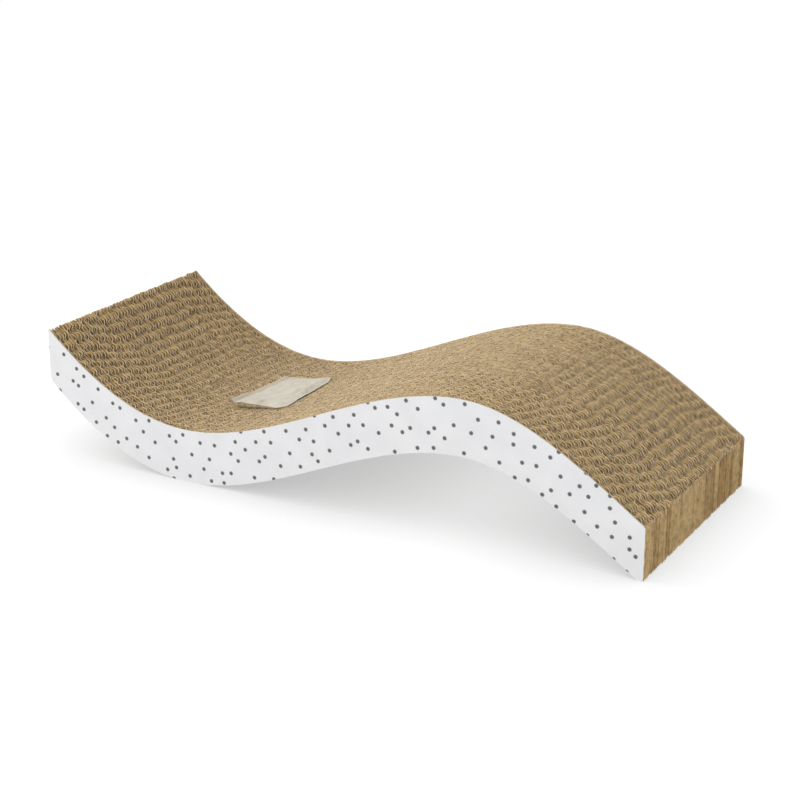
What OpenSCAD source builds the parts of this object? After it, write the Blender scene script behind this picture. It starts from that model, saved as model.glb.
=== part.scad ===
// Wave-shaped cat scratcher: upright corrugated boards, die-cut alike and glued face to face, between two
// printed side panels, with a loose catnip sachet in its hollow.
// The origin is on the floor under the middle of the scratcher. X runs from the raised end to the foot,
// Y runs across the boards and Z is up.

/* [Boards] */
// Number of corrugated boards side by side
board_count = 29; // [6:1:36]
// Thickness of one double-wall corrugated board
board_thickness = 6.8; // [4:0.1:9]
// Depth of a board, straight down from the scratching surface to its underside
board_depth = 42.5; // [38:0.5:56]
// How far a board may be glued forward or back of its true place
board_stagger = 0.8; // [0:0.1:2]
// Thickness of a printed side panel
panel_thickness = 1.4; // [0.8:0.1:3]

/* [Wave] */
// Length from the raised end to the foot
total_length = 502; // [440:1:600]
// Distance from the raised end to the lowest point of the surface
valley_x = 127.8; // [100:0.1:160]
// Distance from the raised end to the top of the hump
hump_x = 361.5; // [320:0.5:400]
// Rise of the surface from its lowest point to the raised end
raised_end_rise = 61.7; // [45:0.1:85]
// Rise of the surface from its lowest point to the top of the hump
hump_rise = 64.8; // [45:0.1:85]
// Depth that is cut off the underside, so that it stands flat under the valley
valley_cut = 0.4; // [0.2:0.1:2]
// Depth that is cut off the underside, so that it stands flat at the foot
foot_cut = 3; // [2:0.1:8]
// Steepness of the surface at the raised end, in degrees
raised_end_angle = 43; // [30:1:52]
// Steepness of the surface at the foot, in degrees
foot_angle = 35; // [20:1:45]
// Radius of the tip of the raised end
tip_radius = 0.8; // [0.4:0.1:2]
// Radius of the corner under the raised end
heel_radius = 10; // [2:0.5:13]
// Radius of the upper corner at the foot
foot_radius = 3.5; // [1:0.5:6]

/* [Sachet] */
// Length of the sachet across the boards
sachet_length = 84; // [60:1:120]
// Width of the sachet along the scratcher
sachet_width = 54; // [40:1:70]
// Distance from the raised end to the middle of the sachet
sachet_x = 150; // [110:1:180]
// Distance from the scratcher's centre line to the middle of the sachet
sachet_y = 3; // [-20:1:20]
// Turn of the sachet as it lies, in degrees
sachet_turn = 3; // [-10:1:10]
// Width of the welded border of the films
weld_width = 5; // [3:0.5:8]
// Thickness of each film
film_thickness = 0.2; // [0.1:0.05:0.4]
// Depth of the catnip at the near end of the sachet
near_fill = 4.6; // [3:0.1:8]
// Depth of the catnip at the far end of the sachet
far_fill = 2.2; // [1:0.1:4]
// Air between the sachet and the boards that it lies on
sachet_clearance = 0.3; // [0.2:0.05:0.6]

/* [Hidden] */
// Straight facets in each of the three stretches of the wave, and in a rounded corner
wave_steps = 24;
corner_steps = 4;
// Squares of the sachet's net along and across it
net_long = 14;
net_wide = 10;
// Depth of the catnip where it meets the weld, and the strip in which the upper film comes down to the weld
fill_rim = 0.6;
rim_width = 1.2;
// Roundness of the catnip's sides and ends: a higher power keeps it level for longer
side_power = 4;
end_power = 6;

valley_height = board_depth - valley_cut;
side_y = board_count * board_thickness / 2;
board_turn_angle = 137.5;

// Points where the wave's stretches meet: distance from the raised end, height and steepness
wave_knots = [
    [0, valley_height + raised_end_rise, -tan(raised_end_angle)],
    [valley_x, valley_height, 0],
    [hump_x, valley_height + hump_rise, 0],
    [total_length, board_depth - foot_cut, -tan(foot_angle)]
];

function board_name(i) = str("corrugated_board_", i < 10 ? "0" : "", i);

// Height of a smooth stretch between the knots a and b, at the share t of the way
function stretch_height(a, b, t) =
    let (run = b[0] - a[0])
    (2 * t ^ 3 - 3 * t ^ 2 + 1) * a[1] + (t ^ 3 - 2 * t ^ 2 + t) * run * a[2]
    + (3 * t ^ 2 - 2 * t ^ 3) * b[1] + (t ^ 3 - t ^ 2) * run * b[2];

// Height of the scratching surface at the distance x from the raised end
function surface_height(x) =
    let (k = x < valley_x ? 0 : x < hump_x ? 1 : 2, a = wave_knots[k], b = wave_knots[k + 1])
    stretch_height(a, b, (x - a[0]) / (b[0] - a[0]));

// The surface's points from the raised end to the foot, each stretch in equal steps
surface_points = [
    for (k = [0:2], step = [(k == 0 ? 0 : 1):wave_steps])
        let (a = wave_knots[k], b = wave_knots[k + 1], t = step / wave_steps)
        [a[0] + t * (b[0] - a[0]), stretch_height(a, b, t)]
];
underside_points = [
    for (i = [len(surface_points) - 1:-1:0]) surface_points[i] - [0, board_depth]
];

function unit(v) = v / norm(v);

// The corner p between its neighbours a and b, as the points of an arc that touches both sides
function rounded_corner(a, p, b, radius) =
    let (
        back = unit(a - p),
        ahead = unit(b - p),
        half_angle = acos(back * ahead) / 2,
        centre = p + unit(back + ahead) * radius / sin(half_angle),
        start = p + back * radius / tan(half_angle) - centre,
        sweep = (180 - 2 * half_angle) * sign(cross(start, p - centre))
    )
    [
        for (step = [0:corner_steps])
            let (turn = sweep * step / corner_steps)
            centre + [start[0] * cos(turn) - start[1] * sin(turn), start[0] * sin(turn) + start[1] * cos(turn)]
    ];

// Each corner's place in the outline and its radius. The floor cuts the foot's lower corner off.
corners = [
    [0, tip_radius],
    [len(surface_points) - 1, foot_radius],
    [2 * len(surface_points) - 1, heel_radius]
];

function rounded_outline(points) = [
    for (i = [0:len(points) - 1])
        let (
            a = points[(i + len(points) - 1) % len(points)],
            p = points[i],
            b = points[(i + 1) % len(points)],
            radii = [for (corner = corners) if (corner[0] == i) corner[1]]
        )
        each len(radii) == 1 ? rounded_corner(a, p, b, radii[0]) : [p]
];

// The part of an outline that is above the floor, cut flat where it meets the floor
function above_floor(points) = [
    for (i = [0:len(points) - 1])
        let (a = points[i], b = points[(i + 1) % len(points)])
        each concat(
            a[1] >= 0 ? [a] : [],
            a[1] * b[1] < 0 ? [[a[0] + (b[0] - a[0]) * a[1] / (a[1] - b[1]), 0]] : []
        )
];

die_cut_outline = above_floor(rounded_outline(concat(surface_points, underside_points)));

// A sheet with the die-cut outline that fills the width from one y to another
module die_cut_sheet(from_y, to_y) {
    translate([-total_length / 2, to_y, 0])
        rotate([90, 0, 0])
            linear_extrude(to_y - from_y)
                polygon(die_cut_outline);
}

module corrugated_board(i) {
    from_y = -side_y + (i - 1) * board_thickness;
    color([0.73, 0.61, 0.45])
        translate([board_stagger * sin(i * board_turn_angle), 0, 0])
            die_cut_sheet(from_y, from_y + board_thickness);
}

module near_printed_panel() {
    color([0.92, 0.92, 0.92])
        die_cut_sheet(-side_y - panel_thickness, -side_y);
}

module far_printed_panel() {
    color([0.92, 0.92, 0.92])
        die_cut_sheet(side_y, side_y + panel_thickness);
}

// Half the sachet's size inside its weld, and where the catnip ends inside that
weld_u = sachet_width / 2 - weld_width;
weld_v = sachet_length / 2 - weld_width;
fill_u = weld_u - rim_width;
fill_v = weld_v - rim_width;

fill_lines_u = [for (k = [0:net_wide]) fill_u * (2 * k / net_wide - 1)];
fill_lines_v = [for (k = [0:net_long]) fill_v * (2 * k / net_long - 1)];
film_lines_u = concat([-sachet_width / 2, -weld_u], fill_lines_u, [weld_u, sachet_width / 2]);
film_lines_v = concat([-sachet_length / 2, -weld_v], fill_lines_v, [weld_v, sachet_length / 2]);

// Depth of the catnip at a place in the sachet, which is none in the weld
function fill_depth(u, v) =
    abs(u) > fill_u || abs(v) > fill_v ? 0 :
    let (
        middle = near_fill + (far_fill - near_fill) * (v / fill_v + 1) / 2,
        swell = (1 - abs(u / fill_u) ^ side_power) * (1 - abs(v / fill_v) ^ end_power)
    )
    fill_rim + (middle - fill_rim) * swell;

// Height of the highest of the boards at the distance x, as each may lie forward or back
function bed_height(x) = max(surface_height(x - board_stagger), surface_height(x + board_stagger));

// A point of the sachet at a height over the boards that it lies on
function sachet_point(u, v, height) =
    let (
        x = sachet_x + u * cos(sachet_turn) - v * sin(sachet_turn),
        y = sachet_y + u * sin(sachet_turn) + v * cos(sachet_turn)
    )
    [x - total_length / 2, y, bed_height(x) + sachet_clearance + height];

// A closed sheet over a net of points, from its lower side to its upper side
module net_sheet(lower, upper) {
    rows = len(lower);
    columns = len(lower[0]);
    points = concat([for (row = lower) each row], [for (row = upper) each row]);
    top = rows * columns;
    function at(r, c) = r * columns + c;
    rim = concat(
        [for (c = [0:columns - 2]) at(0, c)],
        [for (r = [0:rows - 2]) at(r, columns - 1)],
        [for (c = [columns - 1:-1:1]) at(rows - 1, c)],
        [for (r = [rows - 1:-1:1]) at(r, 0)]
    );
    faces = concat(
        [for (r = [0:rows - 2], c = [0:columns - 2]) each [
            [at(r, c), at(r, c + 1), at(r + 1, c + 1)],
            [at(r, c), at(r + 1, c + 1), at(r + 1, c)],
            [top + at(r, c), top + at(r + 1, c + 1), top + at(r, c + 1)],
            [top + at(r, c), top + at(r + 1, c), top + at(r + 1, c + 1)]
        ]],
        [for (k = [0:len(rim) - 1])
            let (p = rim[k], q = rim[(k + 1) % len(rim)])
            each [[p, top + p, q], [q, top + p, top + q]]]
    );
    polyhedron(points, faces);
}

module sachet_lower_film() {
    color([0.86, 0.84, 0.77])
        net_sheet(
            [for (v = film_lines_v) [for (u = film_lines_u) sachet_point(u, v, 0)]],
            [for (v = film_lines_v) [for (u = film_lines_u) sachet_point(u, v, film_thickness)]]
        );
}

module catnip_filling() {
    color([0.48, 0.46, 0.27])
        net_sheet(
            [for (v = fill_lines_v) [for (u = fill_lines_u) sachet_point(u, v, film_thickness)]],
            [for (v = fill_lines_v) [for (u = fill_lines_u)
                sachet_point(u, v, film_thickness + fill_depth(u, v))]]
        );
}

module sachet_upper_film() {
    color([0.86, 0.84, 0.77])
        net_sheet(
            [for (v = film_lines_v) [for (u = film_lines_u)
                sachet_point(u, v, film_thickness + fill_depth(u, v))]],
            [for (v = film_lines_v) [for (u = film_lines_u)
                sachet_point(u, v, 2 * film_thickness + fill_depth(u, v))]]
        );
}

for (i = [1:board_count]) {
    corrugated_board(i);
}
near_printed_panel();
far_printed_panel();
sachet_lower_film();
catnip_filling();
sachet_upper_film();
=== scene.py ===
import math

import bpy
import numpy as np
from mathutils import Matrix, Vector

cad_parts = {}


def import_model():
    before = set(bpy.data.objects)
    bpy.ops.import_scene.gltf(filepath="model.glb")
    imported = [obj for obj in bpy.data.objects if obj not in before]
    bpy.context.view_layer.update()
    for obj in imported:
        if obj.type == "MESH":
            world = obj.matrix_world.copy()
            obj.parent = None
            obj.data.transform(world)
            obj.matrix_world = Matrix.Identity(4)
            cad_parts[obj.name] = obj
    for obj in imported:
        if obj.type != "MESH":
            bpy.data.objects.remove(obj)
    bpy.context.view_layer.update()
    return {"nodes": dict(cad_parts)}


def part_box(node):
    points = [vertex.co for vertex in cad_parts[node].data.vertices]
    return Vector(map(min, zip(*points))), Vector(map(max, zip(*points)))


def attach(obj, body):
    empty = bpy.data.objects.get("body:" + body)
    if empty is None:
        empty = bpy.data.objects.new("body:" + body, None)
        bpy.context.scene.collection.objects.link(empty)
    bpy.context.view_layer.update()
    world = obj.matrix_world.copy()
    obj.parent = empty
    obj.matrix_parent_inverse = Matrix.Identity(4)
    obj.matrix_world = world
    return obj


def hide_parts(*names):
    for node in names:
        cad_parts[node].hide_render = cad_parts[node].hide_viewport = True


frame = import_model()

MM = 0.001

# The wave that all boards and panels are cut to, as the construction has it

BOARD_DEPTH = 42.5 * MM
BOARD_STAGGER = 0.8 * MM
VALLEY_CUT = 0.4 * MM
FOOT_CUT = 3 * MM
VALLEY_X = 127.8 * MM
HUMP_X = 361.5 * MM
RAISED_END_RISE = 61.7 * MM
HUMP_RISE = 64.8 * MM
RAISED_END_SLOPE = -math.tan(math.radians(43))
FOOT_SLOPE = -math.tan(math.radians(35))
TIP_RADIUS = 0.8 * MM
HEEL_RADIUS = 10 * MM
FOOT_RADIUS = 3.5 * MM

near_low, near_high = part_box("near_printed_panel")
LENGTH = near_high[0] - near_low[0]
RAISED_END = near_low[0]
VALLEY_HEIGHT = BOARD_DEPTH - VALLEY_CUT
KNOTS = [
    (0.0, VALLEY_HEIGHT + RAISED_END_RISE, RAISED_END_SLOPE),
    (VALLEY_X, VALLEY_HEIGHT, 0.0),
    (HUMP_X, VALLEY_HEIGHT + HUMP_RISE, 0.0),
    (LENGTH, BOARD_DEPTH - FOOT_CUT, FOOT_SLOPE),
]


def surface_height(x):
    """Height of the scratching surface at distances x from the raised end."""
    x = np.asarray(x, float)
    height = np.zeros_like(x)
    for (xa, za, ma), (xb, zb, mb) in zip(KNOTS, KNOTS[1:]):
        run = xb - xa
        t = (x - xa) / run
        curve = (
            (2 * t**3 - 3 * t**2 + 1) * za
            + (t**3 - 2 * t**2 + t) * run * ma
            + (3 * t**2 - 2 * t**3) * zb
            + (t**3 - t**2) * run * mb
        )
        height = np.where((x >= xa) | (xa == 0.0), curve, height)
    return height


def rounded_end(x, height, wall, inward, radius, wall_height, slope, over):
    """height with the corner rounded where it meets an upright end wall.

    over is 1 for the surface and -1 for the underside."""
    lean = math.hypot(1.0, slope)
    centre_x = wall + inward * radius
    centre_z = wall_height + inward * slope * radius - over * radius * lean
    touch = centre_x - over * radius * slope / lean
    arc = centre_z + over * np.sqrt(np.clip(radius**2 - (x - centre_x) ** 2, 0, None))
    return np.where((x - touch) * inward < 0, arc, height)


def top_height(x):
    z = surface_height(x)
    z = rounded_end(x, z, 0.0, 1, TIP_RADIUS, KNOTS[0][1], RAISED_END_SLOPE, 1)
    return rounded_end(x, z, LENGTH, -1, FOOT_RADIUS, KNOTS[3][1], FOOT_SLOPE, 1)


def under_height(x):
    z = surface_height(x) - BOARD_DEPTH
    z = rounded_end(x, z, 0.0, 1, HEEL_RADIUS, KNOTS[0][1] - BOARD_DEPTH, RAISED_END_SLOPE, -1)
    return np.maximum(z, 0.0)


# Meshes made of standing sheets of paper

# Depth below the surface of each row of points, and how much of a bend at the cut edge it takes
TOP_ROWS = [(0.0, 1.0), (0.35 * MM, 0.8), (1.0 * MM, 0.4), (2.8 * MM, 0.1), (7.0 * MM, 0.0)]
UNDER_ROWS = [(1.5 * MM, 0.0), (0.0, 0.6)]
# The stretch at each end where the points lie closer together, for the round corners
END_STRETCH = 4 * MM
END_STEPS = 9
# The depth whose colour the end walls take, as they are cut with the grain and less fuzzy
END_DEPTH = 0.42 * MM


def smooth_noise(rng, x, step):
    """Even noise from -1 to 1 at the sorted distances x, with a knot each step."""
    knots = np.arange(x[0] - step, x[-1] + 2 * step, step)
    values = rng.uniform(-1, 1, len(knots))
    t = (x - knots[0]) / step
    k = np.clip(t.astype(int), 0, len(knots) - 2)
    f = t - k
    f = f * f * (3 - 2 * f)
    return values[k] * (1 - f) + values[k + 1] * f


def eased(value, low, high):
    """0 below low, 1 above high and smooth between."""
    t = np.clip((value - low) / (high - low), 0, 1)
    return t * t * (3 - 2 * t)


def stations(step):
    """Distances along the board, closer together towards its ends."""
    near_end = END_STRETCH * np.linspace(0, 1, END_STEPS) ** 2
    middle = np.linspace(END_STRETCH, LENGTH - END_STRETCH, round(LENGTH / step))
    return np.concatenate([near_end[:-1], middle, (LENGTH - near_end[::-1])[1:]])


def make_object(name, points, faces, kinds, materials, attributes):
    """A smooth mesh of quads.

    kinds are the faces' material indices and attributes hold one value per point."""
    mesh = bpy.data.meshes.new(name)
    mesh.vertices.add(len(points))
    mesh.vertices.foreach_set("co", points.ravel())
    mesh.loops.add(faces.size)
    mesh.loops.foreach_set("vertex_index", faces.ravel())
    mesh.polygons.add(len(faces))
    mesh.polygons.foreach_set("loop_start", np.arange(0, faces.size, 4))
    mesh.polygons.foreach_set("material_index", kinds)
    for label, values in attributes.items():
        made = mesh.attributes.new(label, "FLOAT", "POINT")
        made.data.foreach_set("value", values.astype(np.float32))
    mesh.update(calc_edges=True)
    mesh.shade_smooth()
    mesh.set_sharp_from_angle(angle=math.radians(50))
    for material in materials:
        mesh.materials.append(material)
    made = bpy.data.objects.new(name, mesh)
    bpy.context.collection.objects.link(made)
    return made


class Sheets:
    """Collects closed sheets of paper for one mesh, whose end walls are at low_x and high_x."""

    def __init__(self, low_x, high_x):
        self.low_x, self.high_x = low_x, high_x
        self.points, self.faces, self.kinds, self.depths = [], [], [], []
        self.count = 0

    def add(self, x, y, thickness, flare, top, under, bend_x, bend_y, kind_left, kind_right, kind_cut):
        """A sheet that stands on the path (x, y), x from the raised end. kinds are material indices.

        flare is how much thicker the crushed edge is, as a share."""
        tangent = np.stack([np.gradient(x), np.gradient(y)])
        tangent /= np.linalg.norm(tangent, axis=0)
        normal = np.stack([-tangent[1], tangent[0]])
        rows = [(top - d, w, d) for d, w in TOP_ROWS] + [(under + d, w, d) for d, w in UNDER_ROWS]
        grid = np.empty((2, len(rows), len(x), 3))
        for s, side in enumerate((1, -1)):
            for r, (z, weight, _) in enumerate(rows):
                half = side * thickness / 2 * (1 + flare * weight)
                grid[s, r, :, 0] = self.low_x + x + half * normal[0] + bend_x * weight
                grid[s, r, :, 1] = y + half * normal[1] + bend_y * weight
                grid[s, r, :, 2] = z
        grid[..., 0] = np.clip(grid[..., 0], self.low_x, self.high_x)
        index = self.count + np.arange(grid[..., 0].size).reshape(grid.shape[:3])
        self.count += index.size
        self.points.append(grid.reshape(-1, 3))
        from_end = np.maximum(np.minimum(x - x[0], x[-1] - x), END_DEPTH)
        depth = np.minimum(np.array([d for _, _, d in rows])[:, None], from_end[None, :])
        self.depths.append(np.broadcast_to(depth, grid.shape[:3]).ravel())
        left, right = index

        def quads(a, b, c, d, kind):
            made = np.stack([a.ravel(), b.ravel(), c.ravel(), d.ravel()], -1)
            self.faces.append(made)
            self.kinds.append(np.full(len(made), kind))

        quads(left[:-1, :-1], left[:-1, 1:], left[1:, 1:], left[1:, :-1], kind_left)
        quads(right[:-1, 1:], right[:-1, :-1], right[1:, :-1], right[1:, 1:], kind_right)
        quads(left[0, 1:], left[0, :-1], right[0, :-1], right[0, 1:], kind_cut)
        quads(left[-1, :-1], left[-1, 1:], right[-1, 1:], right[-1, :-1], kind_cut)
        quads(left[:-1, 0], left[1:, 0], right[1:, 0], right[:-1, 0], kind_cut)
        quads(left[1:, -1], left[:-1, -1], right[:-1, -1], right[1:, -1], kind_cut)

    def build(self, name, materials):
        depth = {"depth": np.concatenate(self.depths)}
        points, faces, kinds = (np.concatenate(part) for part in (self.points, self.faces, self.kinds))
        return make_object(name, points, faces, kinds, materials, depth)


# Materials

NOISE_ROUGHNESS = 0.55


def new_material(name):
    material = bpy.data.materials.new(name)
    material.use_nodes = True
    nodes, links = material.node_tree.nodes, material.node_tree.links
    nodes.clear()
    output = nodes.new("ShaderNodeOutputMaterial")
    shader = nodes.new("ShaderNodeBsdfPrincipled")
    links.new(shader.outputs["BSDF"], output.inputs["Surface"])
    return material, nodes, links, shader


def object_place(nodes, links, scale=(1, 1, 1), turn=(0, 0, 0)):
    """The place on the piece in metres, stretched and turned."""
    place = nodes.new("ShaderNodeTexCoord")
    mapping = nodes.new("ShaderNodeMapping")
    mapping.inputs["Scale"].default_value = scale
    mapping.inputs["Rotation"].default_value = turn
    links.new(place.outputs["Object"], mapping.inputs["Vector"])
    return mapping.outputs["Vector"]


def point_value(nodes, name):
    """A value that the mesh holds for each point."""
    made = nodes.new("ShaderNodeAttribute")
    made.attribute_name = name
    return made.outputs["Fac"]


def noise(nodes, links, vector, scale, detail):
    made = nodes.new("ShaderNodeTexNoise")
    made.inputs["Scale"].default_value = scale
    made.inputs["Detail"].default_value = detail
    made.inputs["Roughness"].default_value = NOISE_ROUGHNESS
    links.new(vector, made.inputs["Vector"])
    return made.outputs["Fac"]


def spread(nodes, links, value, low, high, to_low=0.0, to_high=1.0):
    made = nodes.new("ShaderNodeMapRange")
    made.inputs["From Min"].default_value = low
    made.inputs["From Max"].default_value = high
    made.inputs["To Min"].default_value = to_low
    made.inputs["To Max"].default_value = to_high
    links.new(value, made.inputs["Value"])
    return made.outputs["Result"]


def mixed(nodes, links, share, a, b):
    """Colour b over colour a by the socket share. a and b are sockets or colours."""
    made = nodes.new("ShaderNodeMix")
    made.data_type = "RGBA"
    for socket, value in ((made.inputs[0], share), (made.inputs[6], a), (made.inputs[7], b)):
        if isinstance(value, bpy.types.NodeSocket):
            links.new(value, socket)
        else:
            socket.default_value = (*value, 1.0)
    return made.outputs[2]


def bump(nodes, links, height, strength, distance):
    made = nodes.new("ShaderNodeBump")
    made.inputs["Strength"].default_value = strength
    made.inputs["Distance"].default_value = distance
    links.new(height, made.inputs["Height"])
    return made.outputs["Normal"]


KRAFT_LIGHT = (0.62, 0.395, 0.11)
KRAFT_DARK = (0.43, 0.25, 0.06)
KRAFT_RIM = (0.89, 0.70, 0.42)
CUT_LIGHT = (0.84, 0.68, 0.46)
CUT_DARK = (0.70, 0.54, 0.335)
# Depth below the cut at which the fuzzy pale rim has given way to the paper's own brown
RIM_DEPTH = 0.9 * MM
# Depth below the cut at which painted shade has darkened the channels fully, and how dark that painted shade
# is
CHANNEL_SHADE_DEPTH = 3.2 * MM
CHANNEL_SHADE_SHARE = 0.55
# How much darker the darkest specks and fibres are
SPECK_SHARE = 0.4
FIBRE_SHARE = 0.35
# Noise scales per metre, and how much the fibres are drawn out upward
FIBRE_SCALE = 3200
FIBRE_STRETCH = 0.2
CLOUD_SCALE = 50
SPECK_SCALE = 230
FIBRE_BUMP = 0.05 * MM
# Fibres glow at a grazing view, as fuzz does: weight, roughness and tint on the sheets and on their cut edges
SHEET_FUZZ = (0.8, 0.3, (1.0, 0.94, 0.84))
CUT_FUZZ = (1.0, 0.2, (1.0, 1.0, 1.0))
SHEET_SHINE = 0.25
CUT_SHINE = 0.7


def kraft_paper(name, light, dark, rim, fuzz=SHEET_FUZZ, shine=SHEET_SHINE):
    """Brown paper: fibres along the sheet, cloudy patches, a paler, fuzzy rim where it is cut, and painted
    shade that darkens it deeper in the channels.
    """
    material, nodes, links, shader = new_material(name)
    place = object_place(nodes, links)
    along = object_place(nodes, links, scale=(1, 1, FIBRE_STRETCH))
    fibres = noise(nodes, links, along, FIBRE_SCALE, detail=2.0)
    clouds = noise(nodes, links, place, CLOUD_SCALE, detail=5.0)
    specks = noise(nodes, links, place, SPECK_SCALE, detail=2.0)
    colour = mixed(nodes, links, spread(nodes, links, clouds, 0.3, 0.7), dark, light)
    depth = point_value(nodes, "depth")
    pale = spread(nodes, links, depth, 0.0, RIM_DEPTH, 1.0, 0.0)
    colour = mixed(nodes, links, pale, colour, rim)
    # Painted shade: the paper turns darker, towards black, the deeper it lies below the cut, where the
    # channels are in shade
    channel_shade = spread(nodes, links, depth, RIM_DEPTH / 2, CHANNEL_SHADE_DEPTH, 0.0, CHANNEL_SHADE_SHARE)
    colour = mixed(nodes, links, channel_shade, colour, (0, 0, 0))
    colour = mixed(nodes, links, spread(nodes, links, specks, 0.4, 0.7, 0.0, SPECK_SHARE), colour, (0, 0, 0))
    colour = mixed(nodes, links, spread(nodes, links, fibres, 0.35, 0.7, 0.0, FIBRE_SHARE), colour, dark)
    links.new(colour, shader.inputs["Base Color"])
    links.new(spread(nodes, links, fibres, 0.3, 0.7, 0.78, 0.95), shader.inputs["Roughness"])
    links.new(bump(nodes, links, fibres, 0.35, FIBRE_BUMP), shader.inputs["Normal"])
    shader.inputs["Specular IOR Level"].default_value = shine
    shader.inputs["Sheen Weight"].default_value = fuzz[0]
    shader.inputs["Sheen Roughness"].default_value = fuzz[1]
    shader.inputs["Sheen Tint"].default_value = (*fuzz[2], 1.0)
    return material


PRINT_WHITE = (0.79, 0.79, 0.795)
PRINT_SHADE = (0.75, 0.75, 0.757)
DOT_INK = (0.115, 0.111, 0.114)
DOT_SPACING = 13.0 * MM
DOT_RADIUS = 1.62 * MM
DOT_EDGE = 0.35 * MM
DOT_SCATTER = 0.62
DOT_ROWS_TURN = math.radians(33)
# How far the ink's edge runs in and out, and the noise scales per metre
INK_RUN = 0.12 * MM
INK_SCALE = 1500
PRINT_CLOUD_SCALE = 40
PRINT_GRAIN_SCALE = 2600
PRINT_BUMP = 0.02 * MM
PANEL_CUT = (0.74, 0.62, 0.48)


def printed_paper(name):
    """White coated paper with small dark dots scattered over it."""
    material, nodes, links, shader = new_material(name)
    place = object_place(nodes, links)
    upright = object_place(nodes, links, turn=(math.radians(-90), 0, DOT_ROWS_TURN))
    dots = nodes.new("ShaderNodeTexVoronoi")
    dots.voronoi_dimensions = "2D"
    dots.inputs["Scale"].default_value = 1 / DOT_SPACING
    dots.inputs["Randomness"].default_value = DOT_SCATTER
    links.new(upright, dots.inputs["Vector"])
    clouds = noise(nodes, links, place, PRINT_CLOUD_SCALE, detail=3.0)
    grain = noise(nodes, links, place, PRINT_GRAIN_SCALE, detail=2.0)
    white = mixed(nodes, links, spread(nodes, links, clouds, 0.35, 0.65), PRINT_SHADE, PRINT_WHITE)
    rim = noise(nodes, links, place, INK_SCALE, detail=1.0)
    ragged = nodes.new("ShaderNodeMath")
    ragged.operation = "MULTIPLY_ADD"
    links.new(rim, ragged.inputs[0])
    ragged.inputs[1].default_value = INK_RUN / DOT_SPACING
    links.new(dots.outputs["Distance"], ragged.inputs[2])
    edge = (DOT_RADIUS - DOT_EDGE) / DOT_SPACING, (DOT_RADIUS + DOT_EDGE) / DOT_SPACING
    inked = spread(nodes, links, ragged.outputs[0], edge[0], edge[1], 1.0, 0.0)
    colour = mixed(nodes, links, inked, white, DOT_INK)
    links.new(colour, shader.inputs["Base Color"])
    links.new(spread(nodes, links, grain, 0.3, 0.7, 0.5, 0.62), shader.inputs["Roughness"])
    links.new(bump(nodes, links, grain, 0.2, PRINT_BUMP), shader.inputs["Normal"])
    shader.inputs["Specular IOR Level"].default_value = 0.35
    return material


kraft = kraft_paper("kraft_paper", KRAFT_LIGHT, KRAFT_DARK, KRAFT_RIM)
kraft_cut = kraft_paper("cut_paper_edge", CUT_LIGHT, CUT_DARK, CUT_LIGHT, CUT_FUZZ, CUT_SHINE)
panel_cut = kraft_paper("cut_panel_edge", PANEL_CUT, KRAFT_RIM, PANEL_CUT)
printed = printed_paper("printed_white_paper")

# Corrugated boards

LINER = 0.2 * MM
FLUTE_PAPER = 0.25 * MM
FLUTE_PITCH = 7.9 * MM
LARGE_FLUTE_SHARE = 0.56
POINTS_PER_FLUTE = 12
# How steep the flutes' sides are, and how far and over what step they are squeezed
FLUTE_STEEPNESS = 1.4
SQUEEZE_SHARE = 0.12
SQUEEZE_STEP = 13 * MM
LINER_STEP = 1.4 * MM
# How far the cut edges stray: lower, and sideways
EDGE_DROP = 0.7 * MM
EDGE_BEND = 0.35 * MM
# Steps of the noise in the edges' height, small and large, and in their bends along and across the board
DROP_STEP = 1.7 * MM
DROP_PATCH = 11 * MM
BEND_X_STEP = 2.3 * MM
BEND_Y_STEP = 3.1 * MM
# What is left of its own bend in a liner's edge that the flutes push to and fro
SWAYED_BEND_SHARE = 0.4
# How far whole patches of them lean, and the patches' size
LEAN = 0.28 * MM
LEAN_PATCH = 23 * MM
LEAN_X_SHARE = 0.7
# How far the panels' inner faces lie from the middle, and how far inward of them nothing leans across,
# and the lean across is full
EDGE_Y = -near_high[1]
UPRIGHT_STRIP = 1 * MM
LEANING_STRIP = 8 * MM
# How far the flutes' pitch strays, in turns: slowly and quickly along the board
SLOW_STRAY = 0.09
QUICK_STRAY = 0.07
SLOW_STEP = 38 * MM
QUICK_STEP = 9 * MM
# Seeds of the boards' random draws: their flutes' steps, the flutes' pitch and the glued liners' edges
TURN_SEED = 41
PHASE_SEED = 300
LINER_SEED = 100
# How much of the boards' stagger is seen at the end walls
STAGGER_SEEN = 0.5
# How far the liners' worn edges lie below the flutes': the middle one of a board, and the outer ones
MIDDLE_SUNK = 0.4 * MM
OUTER_SUNK = 0.15 * MM
# How far the flutes push the liners' edges to and fro
LINER_SWAY = 1.0 * MM
# How much thicker the fluted sheets' crushed edges are, as a share
FLUTE_FLARE = 0.7
# The run in which most fluted sheets are bent across their channel at the end walls
SHUT_RUN = 0.8 * MM
SHUT_SHARE = 0.93
# How far the fluted sheets may end short of the foot's wall
FLUTE_SHORT = 0.3 * MM
# A fluted sheet that ends well short of the foot leaves an open slot there
SLOT_BOARD = 3
SLOT_DEPTH = 16 * MM
# Turns by which the flutes step on from board to board: on the near side, and how far that reaches
NEAR_STEP = -0.28
NEAR_STEP_SHARES = (0.4, 0.62)
# Strays of the steps, in turns, on the near and far side
NEAR_STRAY = 0.22
FAR_STRAY = 0.05


def column_turns(y):
    """How far the columns of flutes drift across the boards, in turns."""
    return 0.6 * math.sin(y / (30 * MM) + 0.7) + 0.18 * math.sin(y / (11 * MM) + 2.1)


def board_turns(count):
    """The turns by which each board's flutes are shifted."""
    rng = np.random.default_rng(TURN_SEED)
    turns, total = [], 0.0
    for number in range(1, count + 1):
        near = 1 - float(eased((number - 1) / (count - 1), *NEAR_STEP_SHARES))
        stray = FAR_STRAY + (NEAR_STRAY - FAR_STRAY) * near
        total += NEAR_STEP * near + stray * rng.uniform(-1, 1)
        low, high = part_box(f"corrugated_board_{number:02d}")
        turns.append(total + column_turns((low[1] + high[1]) / 2))
    return turns


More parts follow.
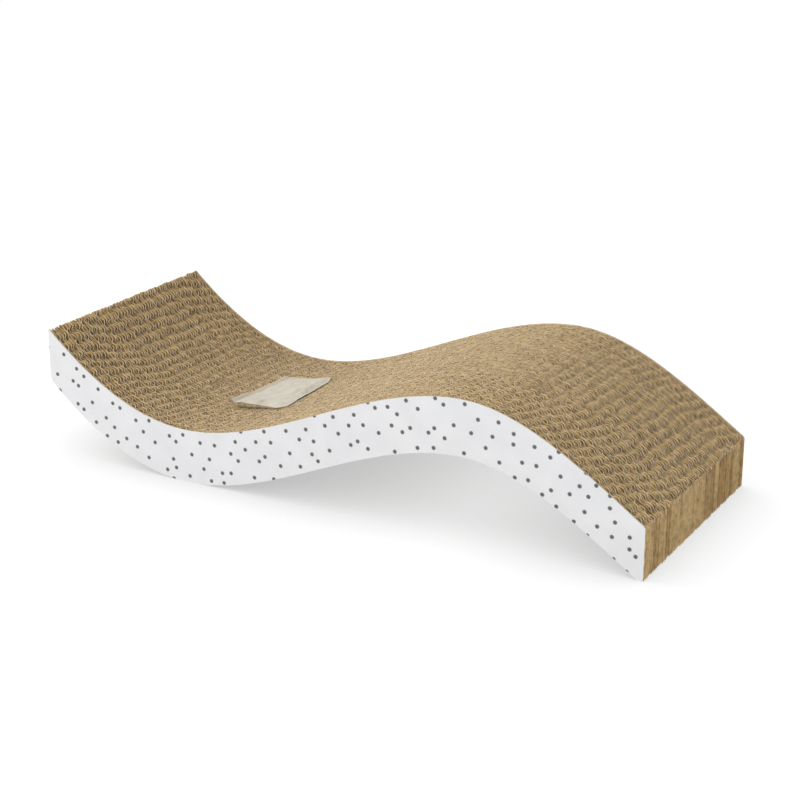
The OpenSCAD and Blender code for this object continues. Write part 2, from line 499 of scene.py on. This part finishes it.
def edge_wear(rng, x, drop, bend):
    """How far a sheet's cut edge lies below the surface, and its bends, at the distances x."""
    low = drop * (0.5 + 0.5 * smooth_noise(rng, x, DROP_STEP))
    low = low * (0.6 + 0.4 * smooth_noise(rng, x, DROP_PATCH))
    return low, bend * smooth_noise(rng, x, BEND_X_STEP), bend * smooth_noise(rng, x, BEND_Y_STEP)


def lean(x, y):
    """How far the cut edges lean along and across the boards, in patches that all the sheets there share."""
    across = math.tau * y / LEAN_PATCH
    along = math.tau * x / LEAN_PATCH
    first = np.sin(along * 1.13 + 2.1 * math.sin(across * 0.71 + 1.3))
    second = np.sin(along * 0.62 + 1.9 * math.sin(across * 1.27 + 4.0) + 0.8)
    fade = float(eased(EDGE_Y - abs(y), UPRIGHT_STRIP, LEANING_STRIP))
    return LEAN * LEAN_X_SHARE * first, LEAN * fade * second


def liner(sheets, rng, y, sunk, kind_left, kind_right, kind_cut, drop, bend, thickness, sway=None):
    """A flat sheet whose cut edge lies sunk below the surface, and sways by sway(x)."""
    x = stations(LINER_STEP)
    low, _, bend_y = edge_wear(rng, x, drop, bend)
    if sway is not None:
        bend_y = bend_y * SWAYED_BEND_SHARE + sway(x) + lean(x, y)[1]
    y = np.full_like(x, y)
    top, under = top_height(x) - sunk - low, under_height(x)
    sheets.add(x, y, thickness, 0, top, under, 0, bend_y, kind_left, kind_right, kind_cut)


def bent_across(wave, x, wall):
    """The wave of a fluted sheet, bent from one side of its channel to the other at an end wall."""
    inward = np.abs(x - wall)
    start = wave[np.argmin(np.abs(inward - SHUT_RUN))]
    shut = 1 - eased(inward, 0, SHUT_RUN)
    return wave * (1 - shut) - math.copysign(1.0, start) * shut


def fluting(sheets, rng, y_low, y_high, pitch, phase, flare, kind, kind_cut, drop, bend, paper, short, shut):
    """A fluted sheet between two liners. phase(x) is in turns, and it ends short of the foot by that much."""
    x = stations(pitch / POINTS_PER_FLUTE)
    x = x[x < LENGTH - short]
    reach = (y_high - y_low - paper) / 2
    squeeze = 1 - SQUEEZE_SHARE * (0.5 + 0.5 * smooth_noise(rng, x, SQUEEZE_STEP))
    wave = squeeze * np.tanh(FLUTE_STEEPNESS * np.sin(2 * math.pi * phase(x))) / math.tanh(FLUTE_STEEPNESS)
    if shut:
        wave = bent_across(bent_across(wave, x, x[0]), x, x[-1])
    y = (y_low + y_high) / 2 + reach * wave
    low, bend_x, bend_y = edge_wear(rng, x, drop, bend)
    lean_x, lean_y = lean(x, (y_low + y_high) / 2)
    top, under = top_height(x) - low, under_height(x)
    sheets.add(
        x, y, paper, flare, top, under, bend_x + lean_x, bend_y + lean_y, kind, kind, kind_cut
    )


def flute_phase(number, turns):
    """The phase of a board's flutes in turns, for distances along it. Their pitch strays a little."""
    def phase(x):
        rng = np.random.default_rng(PHASE_SEED + number)
        slow, quick = smooth_noise(rng, x, SLOW_STEP), smooth_noise(rng, x, QUICK_STEP)
        return x / FLUTE_PITCH + turns[number - 1] + SLOW_STRAY * slow + QUICK_STRAY * quick

    return phase


def sway_with(phases):
    """How a liner's edge is pushed by the flutes beside it, for distances along the board."""
    def sway(x):
        push = sum(np.sin(2 * math.pi * phase(x)) for phase in phases)
        return LINER_SWAY * push / max(len(phases), 1)

    return sway


def joint_sway(turns, number):
    """The sway of the glued liners between the boards number and number + 1, none against the panels."""
    if number < 1 or number >= len(turns):
        return sway_with(())
    return sway_with((flute_phase(number, turns), flute_phase(number + 1, turns)))


def corrugated_board(number, turns):
    """One double-wall board: three liners and two fluted sheets."""
    node = f"corrugated_board_{number:02d}"
    low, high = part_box(node)
    rng = np.random.default_rng(number)
    stagger = (low[0] + high[0]) / 2 - (near_low[0] + near_high[0]) / 2
    shift = STAGGER_SEEN * stagger
    sheets = Sheets(near_low[0] + shift, near_high[0] + shift)
    space = high[1] - low[1] - 3 * LINER
    large = LARGE_FLUTE_SHARE * space
    middle = low[1] + LINER + large
    own_phase = flute_phase(number, turns)
    low_rng, high_rng = (np.random.default_rng(LINER_SEED + joint) for joint in (number, number + 1))
    liners = (
        (low[1] + LINER / 2, OUTER_SUNK, low_rng, joint_sway(turns, number - 1)),
        (middle + LINER / 2, MIDDLE_SUNK, rng, sway_with((own_phase,))),
        (high[1] - LINER / 2, OUTER_SUNK, high_rng, joint_sway(turns, number)),
    )
    for y, sunk, edge_rng, sway in liners:
        liner(sheets, edge_rng, y, sunk, 0, 0, 1, EDGE_DROP, EDGE_BEND, LINER, sway)
    for layer, (y_low, y_high) in enumerate(((low[1] + LINER, middle), (middle + LINER, high[1] - LINER))):
        open_slot = (number, layer) == (SLOT_BOARD, 1)
        short = SLOT_DEPTH if open_slot else FLUTE_SHORT * rng.uniform()
        shut = rng.uniform() < SHUT_SHARE and not open_slot
        fluting(
            sheets, rng, y_low, y_high, FLUTE_PITCH, own_phase, FLUTE_FLARE, 0, 1, EDGE_DROP, EDGE_BEND,
            FLUTE_PAPER, short, shut,
        )
    board = sheets.build(node + "_paper", [kraft, kraft_cut])
    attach(board, "scratcher")
    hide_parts(node)


board_count = sum(name.startswith("corrugated_board") for name in frame["nodes"])
all_turns = board_turns(board_count)
for number in range(1, board_count + 1):
    corrugated_board(number, all_turns)

# Printed side panels

PANEL_LINER = 0.3 * MM
PANEL_FLUTE_PAPER = 0.12 * MM
PANEL_FLUTE_PITCH = 3.3 * MM
# How far the panels' cut edges stray: the printed liner's and the others' lower, and the flutes' sideways
PRINT_DROP = 0.12 * MM
PANEL_DROP = 0.3 * MM
PANEL_BEND = 0.05 * MM
PANEL_SEED = 100


def printed_panel(node, outward):
    """A small-fluted board whose outer liner is printed.

    outward is -1 for the near side and 1 for the far side."""
    low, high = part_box(node)
    rng = np.random.default_rng(len(node) + PANEL_SEED)
    sheets = Sheets(low[0], high[0])
    outer = low[1] if outward < 0 else high[1]
    inner = high[1] if outward < 0 else low[1]
    left, right = (1, 0) if outward < 0 else (0, 1)
    liner(sheets, rng, outer - outward * PANEL_LINER / 2, 0, left, right, 2, PRINT_DROP, 0, PANEL_LINER)
    liner(sheets, rng, inner + outward * PANEL_LINER / 2, 0, 1, 1, 2, PANEL_DROP, 0, PANEL_LINER)
    y_low, y_high = sorted((outer - outward * PANEL_LINER, inner + outward * PANEL_LINER))
    fluting(
        sheets, rng, y_low, y_high, PANEL_FLUTE_PITCH, lambda x: x / PANEL_FLUTE_PITCH, 0, 1, 2, PANEL_DROP,
        PANEL_BEND, PANEL_FLUTE_PAPER, 0, False,
    )
    panel = sheets.build(node + "_paper", [printed, kraft, panel_cut])
    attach(panel, "scratcher")
    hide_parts(node)


printed_panel("near_printed_panel", -1)
printed_panel("far_printed_panel", 1)

# Catnip sachet, as the construction has it

SACHET_LENGTH = 84 * MM
SACHET_WIDTH = 54 * MM
SACHET_X = 150 * MM
SACHET_Y = 3 * MM
SACHET_TURN = math.radians(3)
SACHET_CLEARANCE = 0.3 * MM
WELD_WIDTH = 5 * MM
FILM = 0.2 * MM
NEAR_FILL = 4.6 * MM
FAR_FILL = 2.2 * MM
RIGHT, FAR = SACHET_WIDTH / 2, SACHET_LENGTH / 2

# The pouch's near end stands open-mouthed: high on its left and pressed flat on its right
FRONT_HIGH = 4.8 * MM
FRONT_LOW = 0.45 * MM
FRONT_FOOT = 1.7 * MM
FRONT_HIGH_END = -15 * MM
FRONT_LOW_START = 18 * MM
FRONT_LEAN = 0.5 * MM
FRONT_RUN = 8 * MM
# Its left weld is lifted near the camera and folded inward behind, and its right border lies down on the rims
LEFT_LIFT = 2.5 * MM
RIGHT_DROP = 0.25 * MM
FAR_FOLD = 4.0 * MM
MIDDLE_FOLD = 1.5 * MM
FOLDED_EXTRA = 2.5 * MM
CORNER_TRIM = 4.5 * MM
CORNER_ROUND = 3.5 * MM
CORNER_TONGUE = 3.0 * MM
TONGUE_U = 19.5 * MM
TONGUE_WIDTH = 6.5 * MM
# The strip at its near end and left side in which the corner is rounded
CORNER_STRIP = 8 * MM
CREASE = 0.9 * MM
# How clear the film is at its left and far welds, where nothing lies in it
LEFT_CLEAR = 0.25
FAR_CLEAR = 0.15
NET_STEP = 1.0 * MM
SACHET_SEED = 7

FILM_CREAM = (0.59, 0.535, 0.42)
FILM_PALE = (0.68, 0.63, 0.52)
FILM_TAN = (0.66, 0.56, 0.40)
HERB_GREEN = (0.52, 0.46, 0.20)
HERB_BROWN = (0.30, 0.23, 0.10)
HERB_STRAW = (0.72, 0.64, 0.34)
# Noise scales per metre
FILM_CLOUD_SCALE = 150
FILM_GRAIN_SCALE = 1400
HERB_CRUMB_SCALE = 700
HERB_GRAIN_SCALE = 2500
FILM_BUMP = 0.05 * MM
HERB_BUMP = 0.3 * MM


def film_material(name):
    """Soft milky film, clearer where the mesh's clear value is high."""
    material, nodes, links, shader = new_material(name)
    place = object_place(nodes, links)
    clouds = noise(nodes, links, place, FILM_CLOUD_SCALE, detail=4.0)
    grain = noise(nodes, links, place, FILM_GRAIN_SCALE, detail=3.0)
    clear = point_value(nodes, "clear")
    colour = mixed(nodes, links, spread(nodes, links, clouds, 0.35, 0.65), FILM_CREAM, FILM_PALE)
    colour = mixed(nodes, links, spread(nodes, links, clear, 0.0, LEFT_CLEAR), colour, FILM_TAN)
    links.new(colour, shader.inputs["Base Color"])
    links.new(spread(nodes, links, grain, 0.3, 0.7, 0.42, 0.6), shader.inputs["Roughness"])
    alpha = spread(nodes, links, clear, 0.0, 1.0, 0.86, 0.14)
    links.new(alpha, shader.inputs["Alpha"])
    links.new(bump(nodes, links, grain, 0.25, FILM_BUMP), shader.inputs["Normal"])
    shader.inputs["Specular IOR Level"].default_value = 0.4
    return material


def herb_material(name):
    """Dried catnip: crumbs of olive leaf, brown stalk and straw."""
    material, nodes, links, shader = new_material(name)
    place = object_place(nodes, links)
    crumbs = nodes.new("ShaderNodeTexVoronoi")
    crumbs.inputs["Scale"].default_value = HERB_CRUMB_SCALE
    links.new(place, crumbs.inputs["Vector"])
    parts = nodes.new("ShaderNodeSeparateColor")
    links.new(crumbs.outputs["Color"], parts.inputs["Color"])
    colour = mixed(nodes, links, spread(nodes, links, parts.outputs[0], 0.3, 0.7), HERB_GREEN, HERB_STRAW)
    colour = mixed(nodes, links, spread(nodes, links, parts.outputs[1], 0.55, 0.8), colour, HERB_BROWN)
    grain = noise(nodes, links, place, HERB_GRAIN_SCALE, detail=2.0)
    links.new(colour, shader.inputs["Base Color"])
    links.new(spread(nodes, links, grain, 0.3, 0.7, 0.8, 0.95), shader.inputs["Roughness"])
    links.new(bump(nodes, links, crumbs.outputs["Distance"], 0.6, HERB_BUMP), shader.inputs["Normal"])
    shader.inputs["Specular IOR Level"].default_value = 0.2
    return material


film = film_material("sachet_film")
herb = herb_material("dried_catnip")


def field(rng, u, v, step):
    """Smooth noise from -1 to 1 over the sachet's net, with a knot each step along and across it."""
    columns, rows = (int(size / step) + 3 for size in (SACHET_WIDTH, SACHET_LENGTH))
    values = rng.uniform(-1, 1, (rows, columns))
    across, along = (u + RIGHT) / step, (v + FAR) / step
    c, r = (np.clip(place.astype(int), 0, size - 2) for place, size in ((across, columns), (along, rows)))
    fc, fr = (f * f * (3 - 2 * f) for f in (np.clip(across - c, 0, 1), np.clip(along - r, 0, 1)))
    low = values[r, c] * (1 - fc) + values[r, c + 1] * fc
    high = values[r + 1, c] * (1 - fc) + values[r + 1, c + 1] * fc
    return low * (1 - fr) + high * fr


def bed_height(x):
    """Height of the highest of the boards at the distance x, as each may lie forward or back."""
    return np.maximum(surface_height(x - BOARD_STAGGER), surface_height(x + BOARD_STAGGER))


def lifted_share(u):
    """1 where the near end stands high, 0 where it is pressed flat."""
    return np.clip((FRONT_LOW_START - u) / (FRONT_LOW_START - FRONT_HIGH_END), 0, 1)


def left_border(v):
    """Width of the left weld, which is folded over behind."""
    return WELD_WIDTH + FOLDED_EXTRA * eased(v, -14 * MM, -4 * MM)


def underside(u, v):
    """How far the sachet's underside lies off the boards."""
    foot = FRONT_FOOT * lifted_share(u) * eased(-v, FAR - 22 * MM, FAR)
    left = LEFT_LIFT * eased(-u, RIGHT - 8 * MM, RIGHT) * eased(-v, 2 * MM, 20 * MM)
    right = RIGHT_DROP * eased(u, RIGHT - 7 * MM, RIGHT)
    return foot + left - right


def fill_depth(u, v):
    """Depth of the catnip at a place in the sachet, which is none in the welds."""
    left, right = -RIGHT + left_border(v) + 0.5 * MM, RIGHT - 1.5 * MM
    across = (2 * u - left - right) / (right - left)
    full, soft = (np.clip(1 - np.abs(across) ** power, 0, 1) for power in (3.5, 2.6))
    sides = np.where(across > 0, soft, np.sqrt(full))
    end = np.sqrt(np.clip(1 - (np.clip(v, 0, FAR) / (FAR - WELD_WIDTH)) ** 5, 0, 1))
    pillow = (NEAR_FILL + (FAR_FILL - NEAR_FILL) * (v + FAR) / SACHET_LENGTH) * sides * end
    mouth = (FRONT_LOW + (FRONT_HIGH - FRONT_LOW - FRONT_FOOT) * lifted_share(u)) * np.sqrt(sides)
    share = eased(v, -FAR, -FAR + FRONT_RUN)
    flattened = 0.55 * (1 - lifted_share(u)) * (1 - eased(v, -FAR, 0))
    return mouth * (1 - share) + pillow * share * (1 - flattened)


def sachet_place(u, v, height):
    """Points of the sachet, at a height over the boards that it lies on."""
    left, right = eased(-u, 0, RIGHT), eased(u, 8 * MM, RIGHT)
    fold = (MIDDLE_FOLD * eased(v, -12 * MM, 0) + FAR_FOLD * eased(v, 0, 38 * MM)) * left
    trim = CORNER_TRIM * eased(v, 25 * MM, FAR) * right
    near = eased(-v, FAR - CORNER_STRIP, FAR)
    corner = CORNER_ROUND * eased(-u, RIGHT - CORNER_STRIP, RIGHT) * near
    tongue = CORNER_TONGUE * near * np.exp(-(((u - TONGUE_U) / TONGUE_WIDTH) ** 2))
    inner_u = u + fold - trim + 0.5 * corner
    inner_v = v + corner - tongue
    x = SACHET_X + inner_u * math.cos(SACHET_TURN) - inner_v * math.sin(SACHET_TURN)
    y = SACHET_Y + inner_u * math.sin(SACHET_TURN) + inner_v * math.cos(SACHET_TURN)
    return np.stack([RAISED_END + x, y, bed_height(x) + SACHET_CLEARANCE + height], -1)


def net(u_low, u_high, v_low, v_high):
    """The places of a net over a stretch of the sachet."""
    u = np.linspace(u_low, u_high, round((u_high - u_low) / NET_STEP) + 1)
    v = np.linspace(v_low, v_high, round((v_high - v_low) / NET_STEP) + 1)
    return np.meshgrid(u, v)


def closed_net(name, lower, upper, material, attributes):
    """A closed solid between two nets of points."""
    shape = lower.shape[:2]
    index = np.arange(2 * shape[0] * shape[1]).reshape(2, *shape)
    low, top = index
    faces = [
        np.stack([top[:-1, :-1], top[:-1, 1:], top[1:, 1:], top[1:, :-1]], -1).reshape(-1, 4),
        np.stack([low[:-1, :-1], low[1:, :-1], low[1:, 1:], low[:-1, 1:]], -1).reshape(-1, 4),
    ]
    for a, b in ((low[0], top[0]), (top[-1], low[-1]), (top[:, 0], low[:, 0]), (low[:, -1], top[:, -1])):
        faces.append(np.stack([a[:-1], a[1:], b[1:], b[:-1]], -1))
    points = np.concatenate([lower.reshape(-1, 3), upper.reshape(-1, 3)])
    faces = np.concatenate(faces)
    values = {label: np.tile(value.ravel(), 2) for label, value in attributes.items()}
    return make_object(name, points, faces, np.zeros(len(faces), int), [material], values)


def creases(rng, u, v):
    """Shallow creases of the upper film: broad dents, and puckers that run in from its borders."""
    dents = 0.6 * field(rng, u, 0.4 * v, 9 * MM) + 0.4 * field(rng, u, 0.5 * v, 4.5 * MM)
    ridges = 1 - 2 * np.abs(field(rng, u, v, 17 * MM))
    inside = np.minimum(RIGHT - np.abs(u), FAR - np.abs(v))
    pucker = eased(inside, 0, WELD_WIDTH) * (1 - eased(inside, WELD_WIDTH, 3 * WELD_WIDTH))
    return CREASE * (0.6 * dents + 0.5 * np.clip(ridges, 0, 1) ** 3 + 0.8 * pucker * field(rng, u, v, 3 * MM))


def upper_net(rng):
    """Places, heights and clearness of the upper film: up its clear front, then back over the top."""
    u, v = net(-RIGHT, RIGHT, -FAR + FRONT_LEAN, FAR)
    depth = fill_depth(u, v)
    crease = creases(rng, u, v)
    height = underside(u, v) + FILM + np.maximum(depth + crease, 0.85 * depth)
    left_weld = 1 - eased(u + RIGHT, left_border(v) - 1 * MM, left_border(v) + 1 * MM)
    far_weld = eased(v, FAR - WELD_WIDTH - 1 * MM, FAR - WELD_WIDTH + 1 * MM)
    clear = np.clip(LEFT_CLEAR * left_weld * (0.4 + 0.6 * eased(v, -30 * MM, 0)) + FAR_CLEAR * far_weld, 0, 1)
    rise = np.array([0.0, 0.3, 0.6, 0.9])[:, None]
    mouth_u = np.repeat(u[:1], len(rise), axis=0)
    mouth_v = -FAR + FRONT_LEAN * rise + 0 * mouth_u
    foot = underside(mouth_u, mouth_v) + FILM
    mouth_height = foot + rise * (height[:1] - foot)
    mouth_clear = np.where(rise < 0.75, 1.0, 0.5) + 0 * mouth_u
    parts = (mouth_u, u), (mouth_v, v), (mouth_height, height), (mouth_clear, clear)
    return [np.concatenate(pair) for pair in parts]


def sachet():
    """The pouch's two films and the catnip between them."""
    rng = np.random.default_rng(SACHET_SEED)
    u, v, height, clear = upper_net(rng)
    upper_film = closed_net(
        "sachet_upper_film_skin",
        sachet_place(u, v, height),
        sachet_place(u, v, height + FILM),
        film,
        {"clear": clear},
    )
    u, v = net(-RIGHT, RIGHT, -FAR, FAR)
    base = underside(u, v)
    lower_film = closed_net(
        "sachet_lower_film_skin",
        sachet_place(u, v, base),
        sachet_place(u, v, base + FILM),
        film,
        {"clear": np.full_like(u, 0.9)},
    )
    u, v = net(-RIGHT + WELD_WIDTH + 1 * MM, RIGHT - 2 * MM, -FAR + 2 * FRONT_LEAN, FAR - WELD_WIDTH - 1 * MM)
    depth = fill_depth(u, v)
    lumps = 0.5 + 0.5 * field(rng, u, v, 2.4 * MM)
    bottom = underside(u, v) + FILM
    filling = closed_net(
        "dried_catnip_filling",
        sachet_place(u, v, bottom + 0.02 * MM),
        sachet_place(u, v, bottom + 0.06 * MM + (0.5 + 0.25 * lumps) * depth),
        herb,
        {},
    )
    for piece, node, slot in (
        (lower_film, "sachet_lower_film", "sachet_film"),
        (upper_film, "sachet_upper_film", "sachet_film"),
        (filling, "catnip_filling", "dried_catnip"),
    ):
        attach(piece, "sachet")
        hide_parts(node)


sachet()

# Floor, lights and camera

FLOOR_REACH = 8.0
FLOOR_GLOW = 0.96
FLOOR_SEEN = 0.15
# Painted contact shade on the floor: the samples and reach of its occlusion test, and the share of the glow
# that is left where that test finds it fully occluded
CONTACT_SAMPLES = 8
CONTACT_REACH = 84 * MM
CONTACT_SHADE = 0.5
FLOOR_PALE = (0.86, 0.86, 0.87)
AMBIENT_COLOUR = (0.99, 0.995, 1.0)
AMBIENT_STRENGTH = 0.33
SOFTBOX_SIZE = (1.2, 1.2)
LIGHT_AIM = (0, 0, 0.05)


def floor():
    """A pale floor. The camera sees it nearly white, with a faint real shadow from the lamps and a painted
    shade that is darker at the contacts.
    """
    mesh = bpy.data.meshes.new("floor")
    corners = [(-1, -1), (1, -1), (1, 1), (-1, 1)]
    mesh.from_pydata([(x * FLOOR_REACH, y * FLOOR_REACH, 0) for x, y in corners], [], [(0, 1, 2, 3)])
    made = bpy.data.objects.new("floor", mesh)
    bpy.context.collection.objects.link(made)
    material, nodes, links, shader = new_material("floor")
    path = nodes.new("ShaderNodeLightPath")
    seen = path.outputs["Is Camera Ray"]
    # Painted shade: the glow that the camera sees is dimmed where the occlusion test finds the object close,
    # darkest at the contacts. Only the faint diffuse part takes the lamps' real shadow.
    near = nodes.new("ShaderNodeAmbientOcclusion")
    near.samples = CONTACT_SAMPLES
    near.inputs["Distance"].default_value = CONTACT_REACH
    glow = spread(nodes, links, near.outputs["AO"], 0.0, 1.0, FLOOR_GLOW * CONTACT_SHADE, FLOOR_GLOW)
    only_seen = nodes.new("ShaderNodeMath")
    only_seen.operation = "MULTIPLY"
    links.new(glow, only_seen.inputs[0])
    links.new(seen, only_seen.inputs[1])
    links.new(only_seen.outputs[0], shader.inputs["Emission Strength"])
    shader.inputs["Emission Color"].default_value = (1, 1, 1, 1)
    faint = (FLOOR_SEEN, FLOOR_SEEN, 1.02 * FLOOR_SEEN)
    links.new(mixed(nodes, links, seen, FLOOR_PALE, faint), shader.inputs["Base Color"])
    shader.inputs["Roughness"].default_value = 0.9
    shader.inputs["Specular IOR Level"].default_value = 0.0
    mesh.materials.append(material)


def world():
    """Dim even light, seen as white by the camera and in reflections."""
    made = bpy.data.worlds.new("studio")
    bpy.context.scene.world = made
    made.use_nodes = True
    nodes, links = made.node_tree.nodes, made.node_tree.links
    nodes.clear()
    output = nodes.new("ShaderNodeOutputWorld")
    ambient, white = nodes.new("ShaderNodeBackground"), nodes.new("ShaderNodeBackground")
    ambient.inputs["Color"].default_value = (*AMBIENT_COLOUR, 1)
    ambient.inputs["Strength"].default_value = AMBIENT_STRENGTH
    white.inputs["Strength"].default_value = 1.0
    white.inputs["Color"].default_value = (1, 1, 1, 1)
    path = nodes.new("ShaderNodeLightPath")
    seen = nodes.new("ShaderNodeMath")
    seen.operation = "MAXIMUM"
    links.new(path.outputs["Is Camera Ray"], seen.inputs[0])
    links.new(path.outputs["Is Glossy Ray"], seen.inputs[1])
    mix = nodes.new("ShaderNodeMixShader")
    links.new(seen.outputs[0], mix.inputs[0])
    links.new(ambient.outputs[0], mix.inputs[1])
    links.new(white.outputs[0], mix.inputs[2])
    links.new(mix.outputs[0], output.inputs["Surface"])


def softbox(name, place, power):
    """A square light that is aimed at the object."""
    light = bpy.data.lights.new(name, "AREA")
    light.shape = "RECTANGLE"
    light.size, light.size_y = SOFTBOX_SIZE
    light.energy = power
    made = bpy.data.objects.new(name, light)
    made.location = place
    made.rotation_euler = (Vector(LIGHT_AIM) - Vector(place)).to_track_quat("-Z", "Y").to_euler()
    bpy.context.collection.objects.link(made)


CAMERA_PLACE = (0.66552, -1.19002, 0.53432)
CAMERA_ANGLES = (19.301, 28.931, 0.126)
CAMERA_LENS = 84.26


def camera():
    """The photograph's camera, worked out from the object's outlines in it."""
    pitch, yaw, roll = (math.radians(a) for a in CAMERA_ANGLES)
    forward = Vector((-math.sin(yaw) * math.cos(pitch), math.cos(yaw) * math.cos(pitch), -math.sin(pitch)))
    right = Vector((math.cos(yaw), math.sin(yaw), 0))
    up = right.cross(forward)
    turned = math.cos(roll) * right + math.sin(roll) * up
    upward = math.cos(roll) * up - math.sin(roll) * right
    data = bpy.data.cameras.new("camera")
    data.sensor_width = 36.0
    data.lens = CAMERA_LENS
    made = bpy.data.objects.new("camera", data)
    bpy.context.collection.objects.link(made)
    turn = Matrix((turned, upward, -forward)).transposed().to_4x4()
    made.matrix_world = Matrix.Translation(CAMERA_PLACE) @ turn
    data.clip_start = 0.01
    data.clip_end = 60.0
    bpy.context.scene.camera = made


floor()
world()
softbox("left_softbox", (-1.8, -0.2, 1.0), 28)
softbox("left_back_softbox", (-1.3, 1.1, 1.2), 12)
softbox("front_softbox", (0.3, -2.0, 0.8), 14.5)
softbox("right_front_softbox", (1.5, -1.3, 0.9), 9.5)
camera()

bpy.context.scene.view_settings.view_transform = "Standard"
